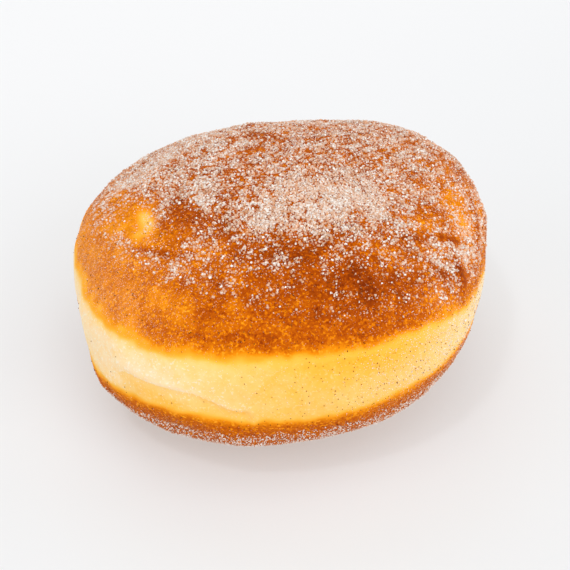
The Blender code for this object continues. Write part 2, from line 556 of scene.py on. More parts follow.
class Nodes:
    """A small helper for writing a node tree from left to right."""

    def __init__(self, tree: bpy.types.NodeTree) -> None:
        """Keeps the tree that nodes are added to."""
        self.tree = tree

    def add(self, kind: str, **settings: object) -> bpy.types.Node:
        """Adds a node of a kind and sets its properties."""
        node = self.tree.nodes.new(kind)
        for name, value in settings.items():
            setattr(node, name, value)
        return node

    def join(self, source: bpy.types.NodeSocket, target: bpy.types.NodeSocket) -> None:
        """Links an output to an input."""
        self.tree.links.new(source, target)

    def attribute(self, name: str) -> bpy.types.NodeSocket:
        """A number stored on the piece, as an output."""
        return self.add("ShaderNodeAttribute", attribute_name=name).outputs["Fac"]

    def math(self, operation: str, first: object, second: object = 0.0) -> bpy.types.NodeSocket:
        """A sum of two inputs, each a socket or a number, as an output."""
        node = self.add("ShaderNodeMath", operation=operation)
        for slot, value in zip(node.inputs, (first, second)):
            if isinstance(value, bpy.types.NodeSocket):
                self.join(value, slot)
            else:
                slot.default_value = value
        return node.outputs["Value"]

    def between(self, value: bpy.types.NodeSocket, low: float, high: float) -> bpy.types.NodeSocket:
        """A smooth step of a value from low to high, as an output from 0 to 1."""
        node = self.add("ShaderNodeMapRange", interpolation_type="SMOOTHSTEP")
        self.join(value, node.inputs["Value"])
        node.inputs["From Min"].default_value = low
        node.inputs["From Max"].default_value = high
        return node.outputs["Result"]

    def ramp(self, value: bpy.types.NodeSocket, stops: tuple["Stop", ...]) -> bpy.types.NodeSocket:
        """A colour ramp over a value, as an output."""
        node = self.add("ShaderNodeValToRGB")
        self.join(value, node.inputs["Fac"])
        ramp = node.color_ramp
        while len(ramp.elements) < len(stops):
            ramp.elements.new(0.5)
        for element, stop in zip(ramp.elements, stops):
            element.position = stop.place
            element.color = (*stop.colour, 1.0)
        return node.outputs["Color"]

    def mix(
        self,
        share: bpy.types.NodeSocket,
        first: bpy.types.NodeSocket | tuple[float, float, float],
        second: bpy.types.NodeSocket | tuple[float, float, float],
    ) -> bpy.types.NodeSocket:
        """A blend of two colours, each a socket or a colour, as an output."""
        node = self.add("ShaderNodeMix", data_type="RGBA")
        self.join(share, node.inputs["Factor"])
        for slot, value in ((node.inputs[6], first), (node.inputs[7], second)):
            if isinstance(value, bpy.types.NodeSocket):
                self.join(value, slot)
            else:
                slot.default_value = (*value, 1.0)
        return node.outputs[2]


@dataclass(frozen=True)
class Stop:
    """One stop of a colour ramp: its place from 0 to 1 and its linear colour."""

    place: float
    colour: tuple[float, float, float]


class MottleGroup:
    """Node group: fine uneven mottling on Object coordinates, as a value round zero."""

    NAME = "fine_mottle"

    @classmethod
    def tree(cls) -> bpy.types.NodeTree:
        """Builds the group once, and returns it each time after that."""
        made = bpy.data.node_groups.get(cls.NAME)
        if made:
            return made
        group = bpy.data.node_groups.new(cls.NAME, "ShaderNodeTree")
        for name, value in (("Scale", 400.0), ("Detail", 3.0), ("Strength", 1.0)):
            socket = group.interface.new_socket(name, in_out="INPUT", socket_type="NodeSocketFloat")
            socket.default_value = value
        group.interface.new_socket("Value", in_out="OUTPUT", socket_type="NodeSocketFloat")
        nodes = Nodes(group)
        given = nodes.add("NodeGroupInput")
        place = nodes.add("ShaderNodeTexCoord")
        noise = nodes.add("ShaderNodeTexNoise")
        nodes.join(place.outputs["Object"], noise.inputs["Vector"])
        nodes.join(given.outputs["Scale"], noise.inputs["Scale"])
        nodes.join(given.outputs["Detail"], noise.inputs["Detail"])
        centred = nodes.math("SUBTRACT", noise.outputs["Fac"], 0.5)
        scaled = nodes.math("MULTIPLY", centred, given.outputs["Strength"])
        result = nodes.add("NodeGroupOutput")
        nodes.join(scaled, result.inputs["Value"])
        return group

    @classmethod
    def place(cls, nodes: Nodes, scale: float, detail: float, strength: float) -> bpy.types.NodeSocket:
        """Adds the group to a material with its own values, and returns its output."""
        node = nodes.add("ShaderNodeGroup", node_tree=cls.tree())
        node.inputs["Scale"].default_value = scale
        node.inputs["Detail"].default_value = detail
        node.inputs["Strength"].default_value = strength
        return node.outputs["Value"]


class FleckGroup:
    """Node group: small irregular flecks on Object coordinates, 1 inside them and 0 between them."""

    NAME = "small_flecks"

    @classmethod
    def tree(cls) -> bpy.types.NodeTree:
        """Builds the group once, and returns it each time after that."""
        made = bpy.data.node_groups.get(cls.NAME)
        if made:
            return made
        group = bpy.data.node_groups.new(cls.NAME, "ShaderNodeTree")
        for name, value in (("Scale", 1200.0), ("Low", 0.52), ("High", 0.68)):
            socket = group.interface.new_socket(name, in_out="INPUT", socket_type="NodeSocketFloat")
            socket.default_value = value
        group.interface.new_socket("Value", in_out="OUTPUT", socket_type="NodeSocketFloat")
        nodes = Nodes(group)
        given = nodes.add("NodeGroupInput")
        place = nodes.add("ShaderNodeTexCoord")
        noise = nodes.add("ShaderNodeTexNoise")
        noise.inputs["Detail"].default_value = 1.0
        nodes.join(place.outputs["Object"], noise.inputs["Vector"])
        nodes.join(given.outputs["Scale"], noise.inputs["Scale"])
        step = nodes.add("ShaderNodeMapRange", interpolation_type="SMOOTHSTEP")
        nodes.join(noise.outputs["Fac"], step.inputs["Value"])
        nodes.join(given.outputs["Low"], step.inputs["From Min"])
        nodes.join(given.outputs["High"], step.inputs["From Max"])
        result = nodes.add("NodeGroupOutput")
        nodes.join(step.outputs["Result"], result.inputs["Value"])
        return group

    @classmethod
    def place(cls, nodes: Nodes, scale: float, low: float, high: float) -> bpy.types.NodeSocket:
        """Adds the group to a material with its own values, and returns its output."""
        node = nodes.add("ShaderNodeGroup", node_tree=cls.tree())
        node.inputs["Scale"].default_value = scale
        node.inputs["Low"].default_value = low
        node.inputs["High"].default_value = high
        return node.outputs["Value"]


class CrustGroup:
    """Node group: the colour of fried crust from how brown it is, from gold to dark red-brown."""

    NAME = "crust_colour"
    STOPS = (
        (0.00, (0.99, 0.66, 0.19)),
        (0.12, (0.98, 0.51, 0.065)),
        (0.24, (0.98, 0.40, 0.025)),
        (0.36, (0.85, 0.27, 0.003)),
        (0.50, (0.69, 0.178, 0.001)),
        (0.62, (0.56, 0.118, 0.0005)),
        (0.74, (0.42, 0.070, 0.0005)),
        (1.00, (0.20, 0.024, 0.0005)),
    )

    @classmethod
    def tree(cls) -> bpy.types.NodeTree:
        """Builds the group once, and returns it each time after that."""
        made = bpy.data.node_groups.get(cls.NAME)
        if made:
            return made
        group = bpy.data.node_groups.new(cls.NAME, "ShaderNodeTree")
        group.interface.new_socket("Brown", in_out="INPUT", socket_type="NodeSocketFloat")
        group.interface.new_socket("Color", in_out="OUTPUT", socket_type="NodeSocketColor")
        nodes = Nodes(group)
        given = nodes.add("NodeGroupInput")
        result = nodes.add("NodeGroupOutput")
        stops = tuple(Stop(place, colour) for place, colour in cls.STOPS)
        nodes.join(nodes.ramp(given.outputs["Brown"], stops), result.inputs["Color"])
        return group

    @classmethod
    def place(cls, nodes: Nodes, brown: bpy.types.NodeSocket) -> bpy.types.NodeSocket:
        """Adds the group to a material, fed with a brown level, and returns its colour."""
        node = nodes.add("ShaderNodeGroup", node_tree=cls.tree())
        nodes.join(brown, node.inputs["Brown"])
        return node.outputs["Color"]


def new_material(name: str) -> tuple[bpy.types.Material, Nodes, bpy.types.Node]:
    """A material with its own Principled shader.

    Args:
        name: The material's name.

    Returns:
        The material, a node helper on its tree, and its Principled BSDF.
    """
    material = bpy.data.materials.new(name)
    material.use_nodes = True
    nodes = Nodes(material.node_tree)
    return material, nodes, material.node_tree.nodes["Principled BSDF"]


# ---------------------------------------------------------------- finishes


@dataclass(frozen=True)
class DoughFinish:
    """Fried dough: cream belt, gold halo at the crust's edge, orange to red-brown crust, sugar dust."""

    belt: tuple[Stop, ...] = (
        Stop(0.0, (0.98, 0.83, 0.62)),
        Stop(0.4, (0.98, 0.63, 0.23)),
        Stop(0.75, (0.98, 0.51, 0.075)),
        Stop(1.0, (0.97, 0.43, 0.022)),
    )
    dust: tuple[float, float, float] = (0.84, 0.42, 0.22)
    roughness_low: float = 0.5
    roughness_high: float = 0.7
    bump_depth: float = 0.0001

    def material(self) -> bpy.types.Material:
        """Colours from the piece's brown, yellow and dust values, broken up by mottling and flecks."""
        material, nodes, shader = new_material("fried_dough")
        brown = nodes.attribute("brown")
        yellow = nodes.attribute("yellow")
        dust = nodes.attribute("dust")
        coarse = MottleGroup.place(nodes, 330.0, 2.0, 0.12)
        fine = MottleGroup.place(nodes, 2000.0, 3.0, 0.46)
        pale = FleckGroup.place(nodes, 1500.0, 0.54, 0.64)
        dark = FleckGroup.place(nodes, 1100.0, 0.62, 0.72)
        crusted = nodes.between(brown, 0.24, 0.58)
        flecks = nodes.math("ADD", nodes.math("MULTIPLY", pale, -0.21), nodes.math("MULTIPLY", dark, 0.15))
        uneven = nodes.math("ADD", nodes.math("ADD", coarse, fine), flecks)
        crust = CrustGroup.place(nodes, nodes.math("ADD", brown, nodes.math("MULTIPLY", uneven, crusted)))
        crumb = MottleGroup.place(nodes, 500.0, 2.0, 0.35)
        bits = FleckGroup.place(nodes, 1900.0, 0.56, 0.70)
        tinted = nodes.math("ADD", nodes.math("ADD", yellow, crumb), nodes.math("MULTIPLY", bits, -0.22))
        baked = nodes.mix(nodes.between(brown, 0.0, 0.20), nodes.ramp(tinted, self.belt), crust)
        grit = nodes.math("MULTIPLY", dust, nodes.between(nodes.math("ADD", fine, dust), 0.0, 0.5))
        nodes.join(nodes.mix(grit, baked, self.dust), shader.inputs["Base Color"])
        rough = nodes.add("ShaderNodeMapRange")
        nodes.join(nodes.math("ADD", brown, fine), rough.inputs["Value"])
        rough.inputs["To Min"].default_value = self.roughness_high
        rough.inputs["To Max"].default_value = self.roughness_low
        nodes.join(rough.outputs["Result"], shader.inputs["Roughness"])
        bump = nodes.add("ShaderNodeBump")
        bump.inputs["Distance"].default_value = self.bump_depth
        bump.inputs["Strength"].default_value = 0.4
        nodes.join(nodes.math("ADD", nodes.math("MULTIPLY", pale, crusted), bits), bump.inputs["Height"])
        nodes.join(bump.outputs["Normal"], shader.inputs["Normal"])
        shader.inputs["Specular IOR Level"].default_value = 0.03
        shader.inputs["Subsurface Weight"].default_value = 0.12
        shader.inputs["Subsurface Radius"].default_value = (1.0, 0.5, 0.2)
        shader.inputs["Subsurface Scale"].default_value = 0.0025
        return material


@dataclass(frozen=True)
class SugarFinish:
    """Sugar: clear crystals that show the crust's colour, with faces painted bright white as glints, and cloudy
    ones.
    """

    white: tuple[float, float, float] = (0.86, 0.83, 0.78)
    veil: tuple[float, float, float] = (0.92, 0.58, 0.30)
    veil_share: float = 0.48
    roughness: float = 0.22

    def material(self) -> bpy.types.Material:
        """The crust's colour under each crystal, veiled, and whiter as the crystal is less clear."""
        material, nodes, shader = new_material("sugar_crystals")
        cloud = MottleGroup.place(nodes, 2600.0, 1.0, 0.25)
        crust = CrustGroup.place(nodes, nodes.attribute("brown"))
        veil = nodes.add("ShaderNodeMix", data_type="RGBA")
        veil.inputs["Factor"].default_value = self.veil_share
        nodes.join(crust, veil.inputs[6])
        veil.inputs[7].default_value = (*self.veil, 1.0)
        # whiteness also carries the painted glints: faces coloured bright white to stand for highlights.
        whiteness = nodes.math("ADD", nodes.attribute("whiteness"), cloud)
        colour = nodes.mix(nodes.between(whiteness, 0.0, 1.0), veil.outputs[2], self.white)
        nodes.join(colour, shader.inputs["Base Color"])
        shader.inputs["Roughness"].default_value = self.roughness
        shader.inputs["IOR"].default_value = 1.54
        return material


@dataclass(frozen=True)
class SpiceFinish:
    """Ground spice: dull specks from red-brown to nearly black."""

    tints: tuple[Stop, ...] = (Stop(0.0, (0.08, 0.024, 0.004)), Stop(1.0, (0.40, 0.13, 0.015)))

    def material(self) -> bpy.types.Material:
        """Colours from each speck's own value, faintly mottled."""
        material, nodes, shader = new_material("ground_spice")
        cloud = MottleGroup.place(nodes, 3000.0, 1.0, 0.5)
        colour = nodes.ramp(nodes.math("ADD", nodes.attribute("whiteness"), cloud), self.tints)
        nodes.join(colour, shader.inputs["Base Color"])
        shader.inputs["Roughness"].default_value = 0.8
        shader.inputs["Specular IOR Level"].default_value = 0.1
        return material


@dataclass(frozen=True)
class TableFinish:
    """A plain pale table top that glows a little from below, like a light table."""

    tints: tuple[Stop, ...] = (Stop(0.0, (0.465, 0.475, 0.505)), Stop(1.0, (0.48, 0.49, 0.52)))
    glows: tuple[Stop, ...] = (Stop(0.0, (0.83, 0.83, 0.78)), Stop(1.0, (0.97, 0.96, 0.91)))
    glow: float = 0.43

    def material(self) -> bpy.types.Material:
        """A pale grey that drifts a little over the top, with a glow that grows to the back and left."""
        material, nodes, shader = new_material("table_top")
        drift = nodes.math("ADD", MottleGroup.place(nodes, 3.0, 2.0, 1.0), 0.5)
        nodes.join(nodes.ramp(drift, self.tints), shader.inputs["Base Color"])
        shader.inputs["Roughness"].default_value = 0.6
        shader.inputs["Specular IOR Level"].default_value = 0.1
        place = nodes.add("ShaderNodeSeparateXYZ")
        nodes.join(nodes.add("ShaderNodeTexCoord").outputs["Object"], place.inputs["Vector"])
        leftward = nodes.math("MULTIPLY", place.outputs["X"], -0.8)
        growth = nodes.between(nodes.math("ADD", place.outputs["Y"], leftward), -0.06, 0.24)
        nodes.join(nodes.ramp(growth, self.glows), shader.inputs["Emission Color"])
        shader.inputs["Emission Strength"].default_value = self.glow
        return material


# ---------------------------------------------------------------- the dough


@dataclass
class Dough:
    """The whole round of dough as one closed skin on a grid of azimuth and angle down."""

    form: DoughForm = field(default_factory=DoughForm)
    relief: DoughRelief = field(default_factory=DoughRelief)
    bake: Bake = field(default_factory=Bake)
    tint: BeltTint = field(default_factory=BeltTint)
    turns: int = 456
    rows: int = 180
    disc_share: float = 0.288
    disc_places: tuple[float, float] = (0.294, 0.706)

    def __post_init__(self) -> None:
        """Works out the grid's angles, places and normals."""
        self.azimuths = -np.pi + 2 * np.pi * np.arange(self.turns) / self.turns
        self.downs = np.pi * np.arange(1, self.rows) / self.rows
        self.azimuth, self.down = np.meshgrid(self.azimuths, self.downs)
        plain = self.form.points(self.azimuth, self.down)
        outward = self.form.axes_at(self.azimuth, self.down)[2]
        self.plain = plain
        self.points = plain + outward * self.relief.height(self.form, self.azimuth, plain)[..., None]
        top = np.array([0, 0, self.form.height])
        top[2] += self.relief.height(self.form, np.zeros(1), top[None])[0]
        self.poles = np.stack([top, np.zeros(3)])
        corners = np.concatenate([self.points.reshape(-1, 3), self.poles])
        self.middle = (corners.min(axis=0) + corners.max(axis=0)) / 2 * np.array([1, 1, 0])
        self.normals = self.grid_normals()
        self.brown = self.browning()

    def grid_normals(self) -> Array:
        """Outward normals of the finished skin: the cross product of its slopes down and round."""
        way_round = np.roll(self.points, -1, axis=1) - np.roll(self.points, 1, axis=1)
        way_down = np.gradient(self.points, axis=0)
        return unit(np.cross(way_down, way_round))

    def browning(self) -> Array:
        """How brown each grid point is, from 0 on the belt to 1 where the crust is darkest.

        The depth inside each crust gives a first level, and the stains and a random mottle are added
        where there is crust.
        """
        above, below = self.bake.depth(self.form, self.azimuth, self.plain)
        crown = np.interp(above, self.bake.crown_depths, self.bake.crown_browns)
        base = np.interp(below, self.bake.base_depths, self.bake.base_browns)
        level = np.maximum(crown, base)
        extra = self.form.total(self.bake.stains, self.plain)
        extra += self.bake.back_brown * eased(self.plain[..., 1] / MM, -5, 25)
        extra += 0.035 * ripples(self.plain, 6 * MM, Stream.MOTTLE.value)
        extra += 0.03 * ripples(self.plain, 2.6 * MM, Stream.MOTTLE.value + 100)
        return np.clip(level + extra * eased(crown, 0.2, 0.5), 0, 1)

    def yellowness(self) -> Array:
        """How yellow the belt is at each grid point.

        The tint's ovals are added up, with more close to a crust, more under the fold as painted shade, and less on
        its lip as painted light.
        """
        above, below = self.bake.depth(self.form, self.azimuth, self.plain)
        drop, present = self.relief.fold.below_line(self.form, self.azimuth, self.plain)
        # Painted shade on the shelf under the fold and painted light on its lip.
        side = np.where(drop > 0, self.tint.shelf_painted_shade, self.tint.lip_painted_light)
        painted_fold_shading = side * present * np.exp(-np.abs(drop) / self.tint.fold_reach)
        near = np.exp(np.minimum(above, 0) / self.tint.rim_reach)
        near += np.exp(np.minimum(below, 0) / self.tint.rim_reach)
        value = self.tint.base_value + self.form.total(self.tint.yellow, self.plain)
        return np.clip(value + self.tint.rim_yellow * near + painted_fold_shading, 0, 1)

    def build(self, dust: Array) -> bpy.types.Object:
        """Makes the skin with its values and its map.

        Args:
            dust: How much sugar dust lies at each grid point, from 0 to 1.

        Returns:
            The finished piece.
        """
        size = self.points[..., 0].size
        corners = np.concatenate([self.points.reshape(-1, 3), self.poles]) - self.middle
        number = np.arange(size).reshape(self.rows - 1, self.turns)
        after = np.roll(number, -1, axis=1)
        quads = np.stack([number[:-1], number[1:], after[1:], after[:-1]], axis=-1).reshape(-1, 4)
        cap = np.stack([np.full(self.turns, size), number[0], after[0]], axis=-1)
        foot = np.stack([np.full(self.turns, size + 1), after[-1], number[-1]], axis=-1)
        piece = mesh_piece("dough", corners, [quads, cap, foot])
        for name, values in (("brown", self.brown), ("yellow", self.yellowness()), ("dust", dust)):
            ends = [values[0].mean(), values[-1].mean()]
            add_values(piece, name, np.concatenate([values.ravel(), ends]))
        add_map(piece, self.flat_map(quads, cap, foot))
        piece.data.materials.append(DoughFinish().material())
        piece.data.shade_smooth()
        return piece

    def flat_map(self, quads: Array, cap: Array, foot: Array) -> Array:
        """Flat places of every face corner: the crown and the base as two discs, split at a ring.

        A point's distance from its disc's middle is its row's share of the way from the pole to the
        ring, and its direction is its azimuth.

        Args:
            quads: Corner numbers of the four-sided faces, row by row from the crown.
            cap: Corner numbers of the faces round the crown's pole.
            foot: Corner numbers of the faces round the base's pole.

        Returns:
            One place a face corner, in the order of the faces.
        """
        size = (self.rows - 1) * self.turns
        split = self.rows // 2
        faces = [quads, cap, foot]
        rows = np.concatenate([np.arange(1, self.rows).repeat(self.turns), [0, self.rows]])
        turns = np.concatenate([np.tile(self.azimuths, self.rows - 1), [0, 0]])
        first_rows = [np.minimum.reduce(rows[group], axis=1) for group in faces]
        places = []
        for group, first in zip(faces, first_rows):
            low = (first >= split)[:, None]
            row, turn = rows[group], turns[group]
            away = np.where(low, (self.rows - row) / (self.rows - split), row / split) * self.disc_share
            middle = np.where(low, self.disc_places[1], self.disc_places[0])
            pole = group >= size
            away = np.where(pole, 0, away)
            places.append(
                np.stack([middle + away * np.cos(turn), middle + away * np.sin(turn)], axis=-1).reshape(-1, 2)
            )
        return np.concatenate(places)


# ---------------------------------------------------------------- sugar and spice


@dataclass(frozen=True)
class Sprinkling:
    """Where sugar falls on the dough, as a share of the skin that it covers."""

    # The sprinkled area's lower limit: a middling angle from the crown with lobes, in degrees.
    limit: float = 64.0
    limit_lobes: tuple[Lobe, ...] = (Lobe(1, 14.0, 48.0), Lobe(2, 5.0, -25.0))
    limit_softness: float = 9.0
    back: float = 0.46
    front: float = 0.25
    spill: float = 0.10
    piles: tuple[Oval, ...] = (
        Oval(-57, 7.5, 5.0, 2.8, 0.42),
        Oval(-35.5, 17, 5.4, 4.4, 0.62),
        Oval(-54, 22.0, 5.5, 2.2, 0.26),
        Oval(-69, 17.3, 6.0, 3.2, 0.34),
        Oval(-90.5, 19.3, 5.0, 2.2, 0.40),
        Oval(-105.5, 19.5, 3.2, 2.0, 0.10),
        Oval(-8, 23.7, 4.2, 2.2, 0.34),
        Oval(-24, 29.3, 4.6, 2.0, 0.38),
        Oval(-39, 26.3, 3.0, 1.6, -0.35),
        Oval(-25, 20, 12.0, 8.0, 0.16),
    )
    patches: tuple[Oval, ...] = (
        Oval(160, 47, 10.0, 4.4, 0.50),
        Oval(167, 36, 4.0, 2.0, 0.34),
        Oval(158, 38, 5.0, 2.2, 0.20),
        Oval(137, 36, 8.0, 4.0, 0.26),
        Oval(113, 52, 7.0, 2.6, 0.35),
        Oval(158, 21, 5.0, 2.2, 0.40),
        Oval(-112, 30.5, 3.0, 2.0, -0.20),
        Oval(-87, 25, 2.6, 1.8, -0.20),
        Oval(-172, 19, 3.4, 1.8, 0.45),
        Oval(-159, 20.2, 4.0, 1.6, 0.60),
        Oval(-168, 31.5, 1.4, 1.6, 0.35),
        Oval(-127, 15, 5.0, 2.2, 0.14),
        Oval(-124, 11.5, 3.0, 2.0, 0.25),
        Oval(-112, 14.3, 3.6, 2.4, 0.45),
        Oval(128, 27, 3.4, 2.4, 0.18),
        Oval(175, 33.5, 3.0, 2.0, 0.16),
        Oval(174, 24, 3.4, 2.2, 0.42),
        Oval(33, 33, 3.0, 2.0, 0.16),
        Oval(-29.8, 36, 3.0, 1.8, 0.18),
        Oval(-65.5, 36, 3.0, 2.0, 0.14),
        Oval(-31, 30.5, 3.4, 1.8, 0.26),
        Oval(-66, 26.5, 3.0, 1.8, 0.46),
        Oval(-105.5, 19.5, 3.4, 2.0, 0.12),
        Oval(-153, 46.3, 3.6, 1.2, 0.30, -24),
        Oval(-136, 42.5, 6.0, 2.4, 0.26, -24),
        Oval(-126, 43, 5.0, 2.0, 0.12),
        Oval(-97, 32, 3.4, 2.2, 0.12),
        Oval(-70, 45, 1.8, 4.0, 0.28),
        Oval(-47, 31, 2.6, 1.6, 0.20),
        Oval(-40, 29.2, 2.0, 1.4, -0.30),
        Oval(-21.5, 37, 2.6, 1.8, -0.26),
        Oval(-6, 37.5, 3.4, 2.0, 0.14),
        Oval(-31, 54, 3.6, 2.6, 0.34),
        Oval(75, 2, 3.6, 3.6, 0.26),
        Oval(-124, 44, 3.4, 2.0, 0.28),
        Oval(-33, 39, 4.0, 2.4, 0.12),
        Oval(-24, 61, 4.0, 3.0, 0.26),
        Oval(-33, 68, 2.4, 3.0, 0.30),
        Oval(-25.3, 39, 2.6, 1.5, 0.44),
        Oval(-15, 64, 3.4, 2.4, 0.40),
        Oval(-13, 74, 3.6, 6.0, 0.30),
        Oval(-40, 67, 4.0, 2.4, 0.26),
        Oval(-72, 57.5, 1.6, 1.0, 0.30),
    )
    bare: tuple[Oval, ...] = (
        Oval(-158, 28.6, 5.0, 2.5, -0.38),
        Oval(-172, 31.5, 3.0, 2.2, -0.16),
        Oval(-139, 24, 4.4, 2.6, -0.32),
        Oval(-147, 34.5, 3.8, 2.0, -0.34),
        Oval(-141, 40, 3.6, 2.0, -0.18),
        Oval(-124, 33, 3.6, 2.0, -0.08),
        Oval(-170, 43, 8.0, 5.0, -0.38),
        Oval(-152, 43, 4.0, 2.4, -0.20),
        Oval(-160, 38, 4.0, 3.0, -0.14),
        Oval(176, 48.5, 3.0, 2.4, -0.22),
        Oval(160, 30.5, 4.0, 2.2, -0.12),
        Oval(-140, 37, 4.0, 1.6, -0.18),
        Oval(-62, 45, 9.0, 4.5, -0.22),
        Oval(-45, 62, 6.0, 4.0, -0.14),
        Oval(-93, 41, 3.0, 2.0, -0.14),
        Oval(-82, 50.7, 3.4, 2.4, -0.14),
        Oval(-15, 59.5, 2.6, 1.6, -0.30),
        Oval(99, 29, 5.0, 3.0, -0.36),
        Oval(113, 36, 3.0, 2.2, 0.24),
        Oval(54, 28.5, 3.0, 2.2, 0.26),
        Oval(92, 22, 3.4, 2.6, -0.20),
        Oval(72, 36, 9.0, 3.4, -0.16),
        Oval(113, 15, 4.4, 3.0, -0.26),
        Oval(172, 10.5, 5.0, 2.6, -0.24),
        Oval(-147, 16, 3.0, 2.0, -0.14),
        Oval(-94, 13, 3.4, 2.2, 0.20),
        Oval(-85, 21.7, 3.4, 2.0, -0.28),
        Oval(54, 41, 6.0, 2.4, -0.16),
        Oval(-148, 30.5, 3.0, 1.8, -0.18),
        Oval(0, 53, 6.0, 3.4, -0.12),
        Oval(67, 32, 3.0, 1.8, -0.14),
        Oval(171, 54, 4.0, 3.0, -0.18),
        Oval(22, 24, 5.0, 2.6, -0.24),
        Oval(22, 33, 4.4, 2.6, -0.20),
        Oval(10, 46, 5.0, 3.0, -0.22),
        Oval(27, 53, 5.0, 3.0, -0.16),
        Oval(20, 66, 10.0, 4.0, -0.14),
        Oval(-34, 33, 2.4, 1.4, -0.12),
        Oval(-17, 41, 4.6, 2.8, -0.34),
        Oval(-80, 30, 6.0, 2.6, -0.12),
        Oval(-75, 34, 4.0, 2.4, -0.16),
        Oval(-85, 35, 2.8, 2.0, 0.22),
        Oval(-95, 23.4, 4.4, 2.2, 0.42),
        Oval(-50, 33.7, 2.4, 1.8, 0.16),
        Oval(-46, 45.5, 4.0, 2.4, 0.10),
        Oval(-104, 41, 3.4, 2.4, 0.16),
        Oval(-57, 26.3, 2.4, 1.4, -0.22),
        Oval(-103.5, 23.3, 2.0, 1.4, -0.30),
        Oval(-76, 41, 2.4, 5.0, -0.18),
        Oval(-67, 32.3, 3.0, 1.8, -0.14),
        Oval(19, 58, 6.0, 5.0, -0.22),
        Oval(-33, 39, 3.0, 2.0, -0.20),
        Oval(-26, 67, 4.2, 2.0, -0.65, 123),
        Oval(-33.4, 59.5, 3.0, 1.8, -0.42, 92),
        Oval(-2.5, 66.5, 7.5, 1.2, -0.34, -14),
        Oval(-19.5, 51, 2.1, 1.4, -0.55, 60),
        Oval(-16.5, 56, 1.9, 1.3, -0.65, 60),
        Oval(-24.5, 49.5, 1.0, 1.8, 0.50),
        Oval(-21, 54.5, 0.9, 1.6, 0.40),
        Oval(-8.2, 46, 4.2, 1.7, -0.26, 120),
        Oval(-28.7, 42.7, 2.2, 1.3, -0.20, 61),
        Oval(165, 35, 3.0, 2.2, 0.24),
    )
    powdered: tuple[Oval, ...] = (
        Oval(-142, 66, 16.0, 9.0, 0.7),
        Oval(-165, 67, 14.0, 9.0, 0.5),
        Oval(-160.5, 37, 5.0, 3.0, 0.6),
        Oval(-40, 66, 8.0, 5.0, 0.4),
    )
    base_from: float = 2.8
    base_full: float = 5.6
    base_cover: float = 0.95
    # Places where the base's sugar starts lower, in millimetres.
    base_bare: tuple[Oval, ...] = (Oval(-118, 113, 13.0, 8.0, -2.0), Oval(-50, 113, 10.0, 8.0, -0.8))

    def crown_cover(self, dough: Dough) -> Array:
        """Share of the crown that sugar covers at each grid point.

        It is thick at the back, thinner at the front, ends softly at the limit, and breaks into clumps.
        A little has spilled over the limit at the right.
        """
        form, points = dough.form, dough.plain
        limit = self.limit + sum(lobe.at(dough.azimuth) for lobe in self.limit_lobes)
        inside = 1 - eased(np.degrees(dough.down), limit - self.limit_softness, limit + self.limit_softness)
        behind = eased(points[..., 1] / MM, -28, -10)
        cover = self.front + (self.back - self.front) * behind
        clumps = 0.22 * ripples(points, 5.5 * MM, Stream.CLUMPS.value)
        clumps += 0.34 * ripples(points, 2.2 * MM, Stream.CLUMPS.value + 100)
        clumps += 0.40 * ripples(points, 1.1 * MM, Stream.CLUMPS.value + 200, 60)
        cover = cover * (1 + clumps) + form.total(self.patches + self.bare, points) * (1 + clumps)
        spilled = self.spill * eased(points[..., 0] / MM, 14, 32) * (1 - inside) * (points[..., 2] > 12 * MM)
        return np.clip(cover, 0, 1) * inside + spilled

    def pile_cover(self, dough: Dough) -> Array:
        """Share of a full heap at each grid point, from the piles on the crown's front."""
        clumps = 0.25 * ripples(dough.plain, 3.0 * MM, Stream.CLUMPS.value + 300)
        clumps += 0.45 * ripples(dough.plain, 1.2 * MM, Stream.CLUMPS.value + 350, 60)
        value = np.clip(dough.form.total(self.piles, dough.plain), 0, 1)
        return np.clip(value * (1 + clumps), 0, 1.4) * (dough.down < 1.2)

    def base_cover_at(self, dough: Dough) -> Array:
        """Share of the base that sugar covers at each grid point: none at the belt, most below it."""
        below = dough.bake.depth(dough.form, dough.azimuth, dough.plain)[1]
        below = below + dough.form.total(self.base_bare, dough.plain)
        clumps = 0.3 * ripples(dough.plain, 2.4 * MM, Stream.CLUMPS.value + 400)
        ring = eased(below, self.base_from, self.base_full) * eased(dough.plain[..., 2] / MM, 0.3, 3)
        return np.clip(self.base_cover * ring * (1 + clumps), 0, 1) * (dough.down > 1.6)

    def dust(self, dough: Dough) -> Array:
        """Share of the skin that sugar too fine to see veils: a little wherever crystals lie."""
        crystals = 0.05 * self.crown_cover(dough) + 0.08 * self.pile_cover(dough)
        return np.clip(crystals + 0.04 * self.base_cover_at(dough) + 0.16 * self.powder_cover(dough), 0, 0.4)

    def powder_cover(self, dough: Dough) -> Array:
        """Share of the skin under fine powder: even over the crusts, thin on the belt's right side."""
        above, below = dough.bake.depth(dough.form, dough.azimuth, dough.plain)
        sideways = dough.plain[..., 0] / MM
        sides = 0.10 + 0.45 * eased(-sideways, 4, 28) + 0.25 * eased(sideways, 12, 32)
        sides += dough.form.total(self.powdered, dough.plain)
        sides *= np.clip(1 + 2 * dough.form.total(self.bare, dough.plain), 0, 1)
        crusts = sides * eased(above, -2.5, 2) + 0.25 * eased(below, 1.0, 4)
        return crusts + 0.45 * eased(sideways, 6, 34) * (above < 0) + 0.03


